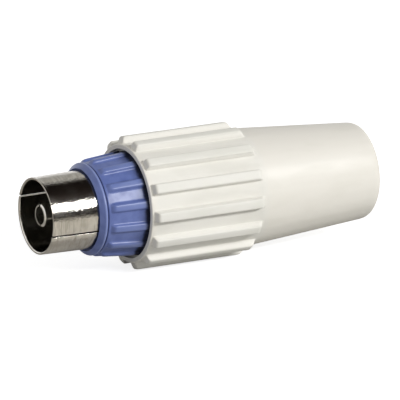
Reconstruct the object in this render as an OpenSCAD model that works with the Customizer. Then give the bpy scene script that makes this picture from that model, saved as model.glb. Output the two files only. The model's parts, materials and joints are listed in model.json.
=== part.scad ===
// Coaxial aerial socket for a cable end: a slit metal sleeve and a split centre contact in a
// fluted collar, with a ribbed and tapered cable sleeve that screws on from behind.
// Millimetres. The axis lies along X with the rim of the metal sleeve at X = 0 and +Z up.
// Angles round the axis start at the top and run towards -Y.

/* [Metal sleeve] */
// Bore of the metal sleeve at its rim
shell_bore_d = 9.5; // [9.3:0.05:9.7]
// Thickness of the rolled sheet
shell_wall = 0.35; // [0.25:0.05:0.45]
// How far each side stands further out at the collar than at the rim
shell_spring = 0.12; // [0.04:0.02:0.2]
// Length of the metal sleeve in front of the collar
shell_reach = 6.5; // [5:0.1:9]
// Width of the flange that holds the metal sleeve in the collar
shell_flange_w = 0.45; // [0.35:0.05:0.6]
// Width of the two spring slits
slit_w = 0.25; // [0.15:0.05:0.4]
// Length of the slits from the rim
slit_len = 8.5; // [4:0.5:10]
// Angle of the first slit
slit_angle = 109.5; // [90:0.1:150]

/* [Centre contact] */
// Outside diameter of the split tube
contact_d = 3.06; // [2.9:0.02:3.2]
// Bore for a plug's centre pin
contact_bore_d = 2.4; // [2.36:0.02:2.5]
// Depth of the bore
contact_bore_depth = 8.8; // [7:0.1:9]
// How far the tip lies behind the metal sleeve's rim
contact_recess = 0.6; // [0:0.1:1.5]
// Width of the two slots in the tube
contact_slot_w = 0.35; // [0.2:0.05:0.5]
// Length of the slots
contact_slot_len = 6.5; // [4:0.5:7]
// Angle of the first slot
contact_slot_angle = -4; // [-30:1:30]
// Diameter of the flange that seats in the insulator
contact_flange_d = 4.4; // [4.2:0.1:5]
// Thickness of that flange
contact_flange_t = 1; // [0.6:0.1:1.5]
// Diameter of the solid stem
stem_d = 3.8; // [3.6:0.1:4]
// Length of the stem behind the metal sleeve
stem_len = 5.5; // [5:0.1:6]
// Hole in the stem for the cable's inner conductor
conductor_hole_d = 1.2; // [1:0.1:1.4]
// Depth of that hole
conductor_hole_depth = 4.5; // [4:0.1:4.8]

/* [Conductor screw] */
// Shank diameter
screw_d = 1.5; // [1.4:0.1:1.8]
// Head diameter
screw_head_d = 2.6; // [2.3:0.1:2.8]
// Head height
screw_head_h = 0.8; // [0.6:0.1:1]
// Distance of the screw behind the metal sleeve
screw_offset = 3; // [2.6:0.1:3.4]
// Width and depth of the driver slot
screw_slot = 0.35; // [0.25:0.05:0.45]

/* [Insulator] */
// Free depth for the plug in front of the insulator
mating_depth = 9.2; // [8.5:0.1:10]
// Thickness of the web that carries the contact
insulator_web = 1; // [0.8:0.1:1.5]

/* [Collar] */
// Length of the collar in front of the cable sleeve
collar_len = 6.4; // [5.5:0.1:8]
// Width of the collar's flat edge round the metal sleeve
collar_edge_w = 0.14; // [0.1:0.02:0.3]
// Diameter over the plain front ring
ring_d = 12.36; // [12.2:0.02:12.5]
// Distance of the front ring's crest behind the front edge
ring_offset = 0.85; // [0.75:0.05:0.95]
// Rounding of the front ring
ring_round = 0.3; // [0.2:0.05:0.35]
// Number of ribs round the collar
collar_ribs = 14; // [12:1:18]
// Angle of the first collar rib
collar_rib_angle = 0; // [-12:0.5:12]
// Width of a collar rib
collar_rib_w = 1.05; // [0.8:0.05:1.3]
// Height of a collar rib above the flutes
collar_rib_h = 0.42; // [0.3:0.02:0.5]
// Diameter over the ribs at their front
collar_front_d = 13.02; // [12.9:0.02:13.1]
// Diameter over the ribs at their rear
collar_rear_d = 14.06; // [13.9:0.02:14.1]
// Distance of the ribs' front behind the front edge
collar_rib_start = 1.5; // [1.3:0.1:1.7]
// Depth of the metal sleeve's seat behind the ribs
seat_depth = 1; // [0.6:0.1:1.4]
// Wall of the threaded spigot
spigot_wall = 0.62; // [0.55:0.01:0.7]
// Length of the spigot behind the ribs
spigot_len = 9.8; // [9:0.1:10.5]
// Length of the plain land that centres the cable sleeve
land_len = 2.2; // [1.8:0.1:2.6]
// Diameter of the screwdriver window in the spigot and collet
window_d = 3.4; // [3.1:0.1:3.6]

/* [Braid collet] */
// Overall length
collet_len = 14; // [13:0.1:15]
// Bore that grips the cable
collet_bore_d = 7.4; // [7.3:0.1:7.8]
// Bore of the chamber round the contact's stem
chamber_d = 9.6; // [9.2:0.1:9.8]
// Depth of the chamber
chamber_len = 6.2; // [6:0.1:6.6]
// Distance of the cone's front behind the metal sleeve
collet_cone_start = 8.4; // [8.2:0.1:8.8]
// Diameter at the thin end of the cone
collet_tip_d = 9.2; // [9:0.1:9.6]
// Number of slits between the fingers
collet_slits = 4; // [3:1:6]
// Width of the slits
collet_slit_w = 0.6; // [0.4:0.1:0.8]

/* [Pressure ring] */
// Length of the ring
press_len = 3; // [2.6:0.1:3.4]
// Outside diameter of the ring
press_d = 12.6; // [12.4:0.1:12.7]
// Wall of the ring at its front, which the collet's cone stays inside
press_wall = 1.05; // [0.9:0.05:1.2]
// Distance of the ring's rear face behind the collet's tip
press_overhang = 0.4; // [0.2:0.1:0.8]
// Height of the snap bead round the ring
bead_h = 0.22; // [0.15:0.01:0.3]
// Width of the snap bead
bead_w = 0.6; // [0.5:0.05:0.8]

/* [Cable sleeve] */
// Length of the cable sleeve
sleeve_len = 35.4; // [33:0.1:38]
// Gap between the collar's ribs and the cable sleeve's mouth
front_gap = 0.2; // [0.15:0.05:0.5]
// Diameter between the ribs
sleeve_d = 15.8; // [15.5:0.1:16.1]
// Diameter over the ribs
sleeve_rib_d = 17.7; // [17.2:0.1:18.2]
// Number of ribs, an even one so that the part lies on two of them
sleeve_ribs = 14; // [10:2:18]
// Width of a rib
sleeve_rib_w = 1.4; // [1.2:0.05:1.8]
// Rounding of a rib's long edges
sleeve_rib_round = 0.25; // [0.15:0.05:0.35]
// Length of the plain lip in front of the ribs
lip_len = 0.3; // [0.2:0.1:1]
// Length of the ribs with their sloped ends
grip_len = 16.4; // [15:0.1:19]
// Length of a rib's sloped front end
rib_front_slope = 0.3; // [0.2:0.05:0.6]
// Length of a rib's sloped rear end
rib_rear_slope = 0.6; // [0.4:0.1:1.6]
// Diameter at the tail's rear end, before its edge is rounded
tail_d = 12.88; // [12.4:0.02:13.2]
// Rounding of the tail's rear edge
tail_round = 1.05; // [0.6:0.05:1.4]
// Bore of the mouth round the collar's ribs
mouth_d = 14.5; // [14.4:0.05:14.6]
// Depth of the mouth
mouth_depth = 0.8; // [0.5:0.1:1]
// Bore that runs over the spigot's thread
thread_bore_d = 13.7; // [13.6:0.05:13.8]
// Bore of the tail at its front
tail_bore_d = 11.6; // [11.4:0.1:11.8]
// Bore of the tail at its rear wall
tail_bore_rear_d = 9.4; // [9:0.1:9.8]
// Thickness of the rear wall
rear_wall = 2.4; // [2:0.1:3]
// Hole for the cable
cable_hole_d = 7.3; // [6:0.1:7.8]
// Countersink round the cable's hole
cable_countersink = 0.5; // [0.3:0.1:0.8]

/* [Fits] */
// Radial clearance between pieces that stay together
snug_gap = 0.03; // [0.02:0.01:0.05]
// Radial clearance between pieces that turn or slide on each other
running_gap = 0.07; // [0.05:0.01:0.1]
// Radial clearance between the pressure ring's cone and the collet
cone_gap = 0.15; // [0.1:0.01:0.25]

/* [Hidden] */
$fn = 96;

// A cut runs this far past the face that it opens
past = 1;
// Small edge breaks on the mouldings and turned pieces
edge_break = 0.15;
// Flats and chamfers on the ends of the screwed pieces
end_chamfer = 0.4;
// Lead-in bevel inside the metal sleeve's rim
rim_bevel = 0.7 * shell_wall;

// Radii of the metal sleeve and of what it fits
shell_rim_r = shell_bore_d / 2 + shell_wall;
shell_r = shell_rim_r + shell_spring;
shell_flange_r = shell_r + shell_flange_w;
collar_bore_r = shell_r + snug_gap;
collet_seat_r = shell_flange_r + snug_gap;

// Places along the axis, from the rim of the metal sleeve to the rear
collar_z = shell_reach;
collar_end = collar_z + collar_len;
seat_z = collar_end + seat_depth;
shell_end = seat_z + shell_wall;
screw_z = shell_end + screw_offset;
stem_end = shell_end + stem_len;
collet_end = shell_end + collet_len;
spigot_end = collar_end + spigot_len;
press_end = collet_end + press_overhang;
press_z = press_end - press_len;
sleeve_z = collar_end + front_gap;
sleeve_end = sleeve_z + sleeve_len;
rib_z = sleeve_z + lip_len;
rib_end = rib_z + grip_len;
flute_z = collar_z + collar_rib_start;
flute_end = sleeve_z + mouth_depth - front_gap;

// Radii that follow from a neighbour
spigot_r = collet_seat_r + spigot_wall;
land_r = thread_bore_d / 2 - running_gap;
press_bore_r = press_d / 2 + running_gap;
stem_flat = stem_d / 2 - edge_break;

// Radius of the collet's cone at a place inside the pressure ring
function collet_cone_r(z) =
    let (front_r = press_d / 2 - press_wall - cone_gap,
         share = (z - press_z) / (collet_end - press_z))
    front_r + share * (collet_tip_d / 2 - front_r);

// Radius of the collar between its ribs; the flutes run on into the cable sleeve's mouth
function flute_r(z) =
    let (share = (z - flute_z) / (flute_end - flute_z))
    (collar_front_d + share * (collar_rear_d - collar_front_d)) / 2 - collar_rib_h;

// Point where a line from an outline's corner touches the front of a circle
function touch_point(corner, centre, radius) =
    let (way = centre - corner,
         angle = atan2(way[1], way[0]) - asin(radius / norm(way)),
         reach = sqrt(way * way - radius * radius))
    corner + reach * [cos(angle), sin(angle)];

// Stands a piece drawn along +Z on the axis: its +Z runs along X and its +X points up
module along_axis() rotate([180, -90, 0]) children();

// Repeats a piece evenly round the axis
module round_axis(count, first = 0)
    for (i = [0 : count - 1]) rotate(first + i * 360 / count) children();

// A slot through one or both walls of a tube, from z to z_end
module wall_slot(width, reach, z, z_end)
    translate([0, -width / 2, z]) cube([reach, width, z_end - z]);

// The corner that a rounded edge leaves out, at the outer end of a turned outline
module edge_round(r, z, radius)
    difference() {
        translate([r - radius, z - radius]) square(radius + past);
        translate([r - radius, z - radius]) circle(radius);
    }

// Section of a rib with rounded long edges, its crest at the given radius
module rib_section(r, crest, width, radius) {
    core = crest - radius;
    half = width / 2 - radius;
    translate([r, -width / 2]) square([core - r, width]);
    translate([core - radius, -half]) square([2 * radius, 2 * half]);
    for (side = [-1, 1]) translate([core, side * half]) circle(radius);
}

// Rolled metal sleeve with two opposite slits and a flange at its hidden end
module outer_shell()
    color("#c9c6bf") along_axis() difference() {
        rotate_extrude() polygon([
            [shell_rim_r - shell_wall, rim_bevel],
            [shell_rim_r - shell_wall + rim_bevel, 0], [shell_rim_r, 0],
            [shell_r, shell_reach], [shell_r, seat_z],
            [shell_flange_r, seat_z], [shell_flange_r, shell_end],
            [shell_r - shell_wall, shell_end], [shell_r - shell_wall, shell_reach]]);
        for (turn = [0, 180])
            rotate(slit_angle + turn) wall_slot(slit_w, shell_r + past, -past, slit_len);
    }

// Black bush that fills the metal sleeve behind the plug's free depth
module insulator()
    color("#1b1b1d") along_axis() difference() {
        translate([0, 0, mating_depth])
            cylinder(r = shell_r - shell_wall - snug_gap, h = shell_end - mating_depth);
        translate([0, 0, mating_depth - past])
            cylinder(r = contact_d / 2 + snug_gap, h = shell_end);
        translate([0, 0, mating_depth + insulator_web])
            cylinder(r = contact_flange_d / 2 + snug_gap, h = shell_end);
    }

// Split tube in front, solid stem with the conductor's hole behind
module centre_contact() {
    flange_z = mating_depth + insulator_web;
    color("#d6d3cb") along_axis() difference() {
        rotate_extrude() polygon([
            [0, contact_recess], [contact_d / 2 - edge_break, contact_recess],
            [contact_d / 2, contact_recess + edge_break], [contact_d / 2, flange_z],
            [contact_flange_d / 2, flange_z], [contact_flange_d / 2, flange_z + contact_flange_t],
            [stem_d / 2, flange_z + contact_flange_t], [stem_d / 2, stem_end - edge_break],
            [stem_d / 2 - edge_break, stem_end], [0, stem_end]]);
        translate([0, 0, contact_recess - past])
            cylinder(d = contact_bore_d, h = contact_bore_depth + past);
        for (turn = [0, 180])
            rotate(contact_slot_angle + turn)
                wall_slot(contact_slot_w, contact_d, -past, contact_recess + contact_slot_len);
        translate([0, 0, stem_end - conductor_hole_depth])
            cylinder(d = conductor_hole_d, h = conductor_hole_depth + past);
        translate([0, 0, screw_z]) rotate([0, 90, 0])
            cylinder(d = screw_d + 2 * snug_gap, h = stem_d);
        translate([stem_flat, -stem_d / 2, screw_z - screw_head_d / 2 - edge_break])
            cube([stem_d, stem_d, screw_head_d + 2 * edge_break]);
    }
}

// Slotted screw whose shank presses on the conductor in the stem
module conductor_screw()
    color("#b9b5aa") along_axis() translate([0, 0, screw_z]) rotate([0, 90, 0])
        difference() {
            union() {
                translate([0, 0, conductor_hole_d / 2])
                    cylinder(d = screw_d, h = stem_flat - conductor_hole_d / 2);
                translate([0, 0, stem_flat]) cylinder(d = screw_head_d, h = screw_head_h);
            }
            translate([-screw_head_d, -screw_slot / 2, stem_flat + screw_head_h - screw_slot])
                cube([2 * screw_head_d, screw_slot, screw_slot + past]);
        }

// Turned body of the collar: cone and front ring, flute floor, land and spigot
module collar_outline() {
    edge = [collar_bore_r + collar_edge_w, collar_z];
    ring = [ring_d / 2 - ring_round, collar_z + ring_offset];
    valley_z = ring[1] + ring_round;
    // The cone ends a little inside the ring's circle, so that it runs into it
    polygon([
        [0, collar_z], edge, touch_point(edge, ring, 0.95 * ring_round),
        [flute_r(valley_z), valley_z], [flute_r(flute_end), flute_end],
        [land_r, flute_end], [land_r, collar_end + land_len],
        [spigot_r, collar_end + land_len + (land_r - spigot_r)],
        [spigot_r, spigot_end - end_chamfer], [spigot_r - end_chamfer, spigot_end],
        [0, spigot_end]]);
    translate(ring) circle(ring_round);
}

// Outline that the crests and the sloped ends of the collar's ribs follow
module collar_rib_outline() {
    crest_z = flute_z + collar_rib_h;
    polygon([
        [0, flute_z], [flute_r(flute_z), flute_z],
        [flute_r(crest_z) + collar_rib_h, crest_z],
        [collar_rear_d / 2, flute_end - edge_break],
        [collar_rear_d / 2 - edge_break, flute_end], [0, flute_end]]);
}

// Fluted collar with the spigot that the cable sleeve screws onto
module grip_collar() {
    rib_root = collar_front_d / 2 - 2 * collar_rib_h;
    color("#6673b3") along_axis() difference() {
        union() {
            rotate_extrude() collar_outline();
            intersection() {
                rotate_extrude() collar_rib_outline();
                translate([0, 0, collar_z]) linear_extrude(flute_end - collar_z)
                    round_axis(collar_ribs, collar_rib_angle)
                        translate([rib_root, -collar_rib_w / 2])
                            square([collar_rear_d / 2, collar_rib_w]);
            }
        }
        translate([0, 0, collar_z - past])
            cylinder(r = collar_bore_r, h = spigot_end);
        translate([0, 0, seat_z])
            cylinder(r = collet_seat_r, h = spigot_end);
        translate([0, 0, screw_z]) rotate([0, 90, 0])
            cylinder(d = window_d, h = spigot_r + past);
    }
}

// Collet behind the metal sleeve's flange: a chamber round the stem, then slit fingers
module braid_collet() {
    chamber_end = shell_end + chamber_len;
    throat = chamber_end + (chamber_d - collet_bore_d) / 2;
    cone_z = shell_end + collet_cone_start;
    color("#cdb77a") along_axis() difference() {
        rotate_extrude() polygon([
            [chamber_d / 2, shell_end], [shell_flange_r, shell_end],
            [shell_flange_r, cone_z], [collet_cone_r(press_z), press_z],
            [collet_tip_d / 2, collet_end],
            [collet_bore_d / 2, collet_end], [collet_bore_d / 2, throat],
            [chamber_d / 2, chamber_end]]);
        translate([0, 0, screw_z]) rotate([0, 90, 0])
            cylinder(d = window_d, h = shell_flange_r + past);
        round_axis(collet_slits, 180 / collet_slits)
            wall_slot(collet_slit_w, shell_flange_r + past, cone_z, collet_end + past);
    }
}

// Ring whose cone closes the collet; a bead holds it in the cable sleeve
module pressure_ring() {
    bead_z = (press_z + press_end - bead_w) / 2;
    color("#4a4d55") along_axis() rotate_extrude() polygon([
        [collet_cone_r(press_z) + cone_gap, press_z], [press_d / 2, press_z],
        [press_d / 2, bead_z], [press_d / 2 + bead_h, bead_z],
        [press_d / 2 + bead_h, bead_z + bead_w], [press_d / 2, bead_z + bead_w],
        [press_d / 2, press_end], [collet_cone_r(press_end) + cone_gap, press_end]]);
}

// Hollow of the cable sleeve: mouth, thread bore, ring seat, tail and cable hole
module sleeve_hollow() {
    mouth_end = sleeve_z + mouth_depth;
    seat_front = press_z - end_chamfer;
    wall_z = sleeve_end - rear_wall;
    hole_r = cable_hole_d / 2;
    bead_z = (press_z + press_end - bead_w) / 2;
    polygon([
        [0, sleeve_z - past], [mouth_d / 2 + edge_break, sleeve_z - past],
        [mouth_d / 2 + edge_break, sleeve_z], [mouth_d / 2, sleeve_z + edge_break],
        [mouth_d / 2, mouth_end], [thread_bore_d / 2, mouth_end],
        [thread_bore_d / 2, seat_front - (thread_bore_d / 2 - press_bore_r)],
        [press_bore_r, seat_front], [press_bore_r, press_end + running_gap],
        [tail_bore_d / 2, press_end + running_gap],
        [tail_bore_rear_d / 2, wall_z], [hole_r, wall_z],
        [hole_r, sleeve_end - cable_countersink],
        [hole_r + cable_countersink, sleeve_end],
        [hole_r + cable_countersink, sleeve_end + past], [0, sleeve_end + past]]);
    translate([0, bead_z - running_gap])
        square([press_bore_r + bead_h, bead_w + 2 * running_gap]);
}

// Solid outside of the cable sleeve between its ribs, with the tail's rounded rear edge
module sleeve_outline()
    difference() {
        polygon([
            [0, sleeve_z], [sleeve_d / 2 - edge_break, sleeve_z],
            [sleeve_d / 2, sleeve_z + edge_break], [sleeve_d / 2, rib_end],
            [tail_d / 2, sleeve_end], [0, sleeve_end]]);
        edge_round(tail_d / 2, sleeve_end, tail_round);
    }

// Outline that the crests and the sloped ends of the cable sleeve's ribs follow
module sleeve_rib_outline()
    polygon([
        [0, rib_z], [sleeve_d / 2, rib_z],
        [sleeve_rib_d / 2, rib_z + rib_front_slope],
        [sleeve_rib_d / 2, rib_end - rib_rear_slope],
        [sleeve_d / 2, rib_end], [0, rib_end]]);

// Ribbed and tapered sleeve that screws onto the collar's spigot
module screw_sleeve() {
    rib_root = (sleeve_d / 2 + thread_bore_d / 2) / 2;
    color("#e9e6dc") along_axis() difference() {
        union() {
            rotate_extrude() sleeve_outline();
            intersection() {
                rotate_extrude() sleeve_rib_outline();
                translate([0, 0, rib_z]) linear_extrude(grip_len)
                    round_axis(sleeve_ribs, 180 / sleeve_ribs)
                        rib_section(rib_root, sleeve_rib_d / 2, sleeve_rib_w, sleeve_rib_round);
            }
        }
        rotate_extrude() sleeve_hollow();
    }
}

outer_shell();
insulator();
centre_contact();
conductor_screw();
grip_collar();
braid_collet();
pressure_ring();
screw_sleeve();
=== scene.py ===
# %% [markdown]
# # Dressing a coaxial aerial socket
# The object is a line socket for aerial cable: a slit nickel sleeve round a split contact, a blue fluted
# collar, and an ivory cable sleeve that screws on from behind. The packed solids already have their real
# sizes and places. This lesson gives them their finishes, and makes the moulded pieces again with the
# rounded edges that catch the light.

# %% Load the solids
import json
import math

import bpy
from mathutils import Matrix, Vector


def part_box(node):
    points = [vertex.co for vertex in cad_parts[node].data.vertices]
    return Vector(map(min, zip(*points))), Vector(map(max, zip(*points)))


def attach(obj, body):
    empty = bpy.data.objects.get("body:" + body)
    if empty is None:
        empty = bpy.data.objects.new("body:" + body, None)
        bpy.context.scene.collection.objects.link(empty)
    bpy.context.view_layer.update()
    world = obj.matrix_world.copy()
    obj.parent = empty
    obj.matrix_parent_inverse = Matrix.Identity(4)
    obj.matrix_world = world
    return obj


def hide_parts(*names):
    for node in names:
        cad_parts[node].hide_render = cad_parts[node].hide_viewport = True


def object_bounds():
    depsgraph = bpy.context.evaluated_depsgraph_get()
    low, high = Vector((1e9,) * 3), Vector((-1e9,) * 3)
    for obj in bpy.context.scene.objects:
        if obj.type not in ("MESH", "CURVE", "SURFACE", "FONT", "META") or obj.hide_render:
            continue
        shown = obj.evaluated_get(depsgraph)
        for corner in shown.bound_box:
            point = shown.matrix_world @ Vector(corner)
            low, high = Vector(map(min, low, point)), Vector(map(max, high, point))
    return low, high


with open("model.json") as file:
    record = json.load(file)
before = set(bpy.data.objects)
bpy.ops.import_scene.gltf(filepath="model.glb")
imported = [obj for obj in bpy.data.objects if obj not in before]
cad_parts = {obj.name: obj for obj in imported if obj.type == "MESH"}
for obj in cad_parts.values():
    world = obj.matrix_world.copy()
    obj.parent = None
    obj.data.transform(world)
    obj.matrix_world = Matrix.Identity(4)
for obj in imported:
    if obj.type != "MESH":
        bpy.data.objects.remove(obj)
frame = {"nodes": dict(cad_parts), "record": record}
cad_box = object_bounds()
nodes = frame["nodes"]
mounts = {mount["name"]: mount for mount in frame["record"]["mounts"]}
scene = bpy.context.scene
MM = 0.001
print("solids:", ", ".join(sorted(nodes)))

# %% [markdown]
# ## Node trees as expressions
# Shaders and Geometry Nodes share their Math nodes, and a formula is easier to read as a formula than as
# a list of links. So one small class wraps an output socket: adding or multiplying two wires adds the
# Math node, and one method makes every other kind of node.

# %% A wire between nodes
def pick(sockets, key):
    """The socket at a place, or the one in use that has a name."""
    if isinstance(key, int):
        return sockets[key]
    return next(socket for socket in sockets if socket.name == key and socket.enabled)


class Wire:
    """An output socket of a node tree that takes part in arithmetic."""

    def __init__(self, tree, socket):
        self.tree = tree
        self.socket = socket

    @classmethod
    def node(cls, tree, kind, settings=None, sockets=None, out=0):
        """Adds a node: its settings first, then the values or links of its sockets."""
        made = tree.nodes.new(kind)
        for name, value in (settings or {}).items():
            setattr(made, name, value)
        for key, value in (sockets or {}).items():
            if isinstance(value, Wire):
                tree.links.new(value.socket, pick(made.inputs, key))
            else:
                pick(made.inputs, key).default_value = value
        return cls(tree, pick(made.outputs, out))

    def math(self, operation, *values):
        """A Math node on the values given, or on this wire alone."""
        sockets = dict(enumerate(values or (self,)))
        return Wire.node(self.tree, "ShaderNodeMath", {"operation": operation}, sockets)

    def __add__(self, other):
        return self.math("ADD", self, other)

    def __sub__(self, other):
        return self.math("SUBTRACT", self, other)

    def __rsub__(self, other):
        return self.math("SUBTRACT", other, self)

    def __mul__(self, other):
        return self.math("MULTIPLY", self, other)

    def __truediv__(self, other):
        return self.math("DIVIDE", self, other)

    def __rtruediv__(self, other):
        return self.math("DIVIDE", other, self)

    def __floordiv__(self, other):
        return (self / other).math("FLOOR")

    def __gt__(self, other):
        return self.math("GREATER_THAN", self, other)

    def __lt__(self, other):
        return self.math("LESS_THAN", self, other)

    __radd__ = __add__
    __rmul__ = __mul__

    def split(self):
        """The three numbers of a vector."""
        first = Wire.node(self.tree, "ShaderNodeSeparateXYZ", {}, {0: self})
        return [Wire(self.tree, socket) for socket in first.socket.node.outputs]

    def ramp(self, low, high):
        """0 below low and 1 above high, with a soft step between them."""
        sockets = {"Value": self, "From Min": low, "From Max": high}
        return Wire.node(self.tree, "ShaderNodeMapRange", {"interpolation_type": "SMOOTHSTEP"}, sockets)


print("operators ready:", [name for name in vars(Wire) if name.startswith("__") and "init" not in name])

# %% [markdown]
# ## The camera
# The object is seen from its front left and a little above, and its parallel edges stay nearly parallel. A
# long lens at a metre does the same, while a short lens close by would swell the front end. The camera
# stands level, so its matrix is built from two turns: one about the vertical and one for its height.

# %% Camera at the viewing angle
VIEW_TURN = math.radians(-28.41)
VIEW_RISE = math.radians(15.46)
VIEW_DISTANCE = 1.0
FRAME_WIDTH = 52.9 * MM
AIM = Vector((24.34, -0.14, -0.97)) * MM

camera = bpy.data.objects.new("camera", bpy.data.cameras.new("camera"))
scene.collection.objects.link(camera)
camera.data.lens = camera.data.sensor_width * VIEW_DISTANCE / FRAME_WIDTH
camera.data.clip_start = VIEW_DISTANCE / 100
turned = Matrix.Rotation(VIEW_TURN, 4, "Z") @ Matrix.Rotation(math.pi / 2 - VIEW_RISE, 4, "X")
camera.matrix_world = Matrix.Translation(AIM + turned.col[2].to_3d() * VIEW_DISTANCE) @ turned
scene.camera = camera
print("lens", round(camera.data.lens), "mm, looking along", [round(-v, 3) for v in turned.col[2][:3]])

# %% [markdown]
# ## The studio
# A white sweep would be lit until it is white, and then the ivory plastic in front of it burns out. Here
# the lamps stay low. The world and the floor look white to the camera and in reflections, by Light Path,
# and give the object only about half of that light. The floor still takes the object's shadow.

# %% World
FILL_LEVEL = 0.52


def seen_directly(tree):
    """1 for what the camera sees, also by way of a reflection or through glass; 0 for lighting."""
    kinds = ("Is Camera Ray", "Is Glossy Ray", "Is Transmission Ray")
    rays = [Wire.node(tree, "ShaderNodeLightPath", out=kind) for kind in kinds]
    return rays[0].math("MAXIMUM", rays[0], rays[0].math("MAXIMUM", rays[1], rays[2]))


scene.view_settings.view_transform = "Standard"
world = bpy.data.worlds.new("white_studio")
scene.world = world
world.use_nodes = True
backdrop = world.node_tree.nodes["Background"]
backdrop.inputs["Color"].default_value = (1, 1, 1, 1)
level = FILL_LEVEL + (1 - FILL_LEVEL) * seen_directly(world.node_tree)
world.node_tree.links.new(level.socket, backdrop.inputs["Strength"])
print("the world looks white and lights at", FILL_LEVEL)

# %% Floor
FLOOR_COLOUR = (0.56, 0.56, 0.55, 1)
FLOOR_GLOW = 0.81
FLOOR_SIZE = 6.0


def floor_finish():
    """Pale matt paint that looks white to the camera and keeps its shadows."""
    material = bpy.data.materials.new("pale_floor")
    material.use_nodes = True
    tree = material.node_tree
    paint = Wire.node(tree, "ShaderNodeBsdfDiffuse", {}, {"Color": FLOOR_COLOUR})
    glow = Wire.node(tree, "ShaderNodeEmission", {}, {"Strength": FLOOR_GLOW * seen_directly(tree)})
    both = Wire.node(tree, "ShaderNodeAddShader", {}, {0: paint, 1: glow})
    tree.links.new(both.socket, tree.nodes["Material Output"].inputs["Surface"])
    return material


def card(name, corners, material):
    """A flat stage card through four corners."""
    mesh = bpy.data.meshes.new(name)
    mesh.from_pydata(corners, [], [range(4)])
    mesh.materials.append(material)
    made = bpy.data.objects.new(name, mesh)
    scene.collection.objects.link(made)
    return made


half = FLOOR_SIZE / 2
floor_z = cad_box[0].z
floor_corners = [(x, y, floor_z) for x, y in ((-half, -half), (half, -half), (half, half), (-half, half))]
card("floor", floor_corners, floor_finish())
print("floor at", round(floor_z / MM, 2), "mm")

# %% [markdown]
# ## Lamp and cards
# Polished metal shows its surroundings. The nickel sleeve has a grey band along its top, a black one below
# it, a white stripe, a thin dark band and a beige underside. A picture of a room could be wrapped round the
# scene, but cards can be moved one at a time until each band is in its place. So the room has a ceiling
# that is black in front and pale behind, a softbox at the right, a low black strip, and papers on the
# floor. The ceiling also keeps light off the top of the object. The strip and the papers are seen in
# reflections only.

# %% Softbox
LAMP_DISTANCE = 0.6
LAMP_SIZE = (0.36, 0.076)
LAMP_POWER = 2.74
LAMP_DIRECTION = Vector((0.459, -0.753, 0.472)).normalized()
LAMP_ROLL = math.radians(-4.54)

lamp = bpy.data.objects.new("softbox", bpy.data.lights.new("softbox", "AREA"))
scene.collection.objects.link(lamp)
lamp.data.shape = "RECTANGLE"
lamp.data.size, lamp.data.size_y = LAMP_SIZE
lamp.data.energy = LAMP_POWER
lamp.location = LAMP_DIRECTION * LAMP_DISTANCE
facing = LAMP_DIRECTION.to_track_quat("Z", "Y").to_matrix()
lamp.rotation_euler = (facing @ Matrix.Rotation(LAMP_ROLL, 3, "Z")).to_euler()
lamp.visible_camera = False
print("softbox of", LAMP_POWER, "W")

# %% Finishes of the cards
def card_finish(name, colour, glow):
    """Matt card without any gloss, with a glow of its own colour."""
    material = bpy.data.materials.new(name)
    material.use_nodes = True
    shader = material.node_tree.nodes["Principled BSDF"]
    shader.inputs["Base Color"].default_value = colour
    shader.inputs["Roughness"].default_value = 1.0
    shader.inputs["Specular IOR Level"].default_value = 0.0
    shader.inputs["Emission Color"].default_value = colour
    shader.inputs["Emission Strength"].default_value = glow
    return material


black_card = card_finish("black_card", colour=(0.02, 0.015, 0.013, 1), glow=0.0)
pale_card = card_finish("pale_card", colour=(0.85, 0.84, 0.81, 1), glow=0.24)
beige_paper = card_finish("beige_paper", colour=(0.74, 0.71, 0.64, 1), glow=0.22)
# The dim paper is painted shadow: a darker sheet for the floor in the object's shadow, seen in reflections.
shade_paper = card_finish("shade_paper", colour=(0.50, 0.48, 0.44, 1), glow=0.1)
print("made", black_card.name, pale_card.name, beige_paper.name, shade_paper.name)

# %% Ceiling, strip and papers
CEILING_SIDES = (0.0, 0.7)
CEILING_Z = 0.4
CEILING_FRONT_Y = -0.514
CEILING_SPLIT_Y = 0.204
CEILING_BACK_Y = 1.1
FLOOR_SIDES = (-0.5, 1.1)
STRIP_Y = -0.7
STRIP_TOP = 0.363
PAPER_Z = floor_z + 0.1 * MM
BEIGE_FRONT_Y = -112 * MM
BEIGE_BACK_Y = -6.7 * MM
SHADE_PAPER_BACK_Y = 0.1


def room_card(name, material, sides, near, far):
    """A card between two sides and two lines, each line given by its Y and Z."""
    left, right = sides
    made = card(name, [(left, *near), (right, *near), (right, *far), (left, *far)], material)
    made.visible_camera = False
    return made


def reflected_card(name, material, near, far):
    """A card that is seen in reflections and gives no light or shade."""
    made = room_card(name, material, FLOOR_SIDES, near, far)
    made.visible_diffuse = False
    made.visible_shadow = False


ceiling_split = (CEILING_SPLIT_Y, CEILING_Z)
beige_front = (BEIGE_FRONT_Y, PAPER_Z)
beige_back = (BEIGE_BACK_Y, PAPER_Z)
room_card("ceiling_front", black_card, CEILING_SIDES, (CEILING_FRONT_Y, CEILING_Z), ceiling_split)
room_card("ceiling_back", pale_card, CEILING_SIDES, ceiling_split, (CEILING_BACK_Y, CEILING_Z))
reflected_card("strip", black_card, (STRIP_Y, floor_z), (STRIP_Y, STRIP_TOP))
reflected_card("far_paper", black_card, (STRIP_Y, PAPER_Z), beige_front)
reflected_card("near_paper", beige_paper, beige_front, beige_back)
# Painted shadow: the paper right under the object stands for the shaded floor in the sleeve's reflection.
reflected_card("back_shade_paper", shade_paper, beige_back, (SHADE_PAPER_BACK_Y, PAPER_Z))
print("a ceiling of two cards, a strip and three papers")

# %% [markdown]
# ## Finishes
# Every finish is one Principled shader. What is the same all over is set on the shader's own sockets. What
# varies comes from Object coordinates, which are the part's own metres: a noise with a scale of 3000 has
# grains of a third of a millimetre. Painted textures would need unwrapped meshes; these finishes need none.

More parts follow.
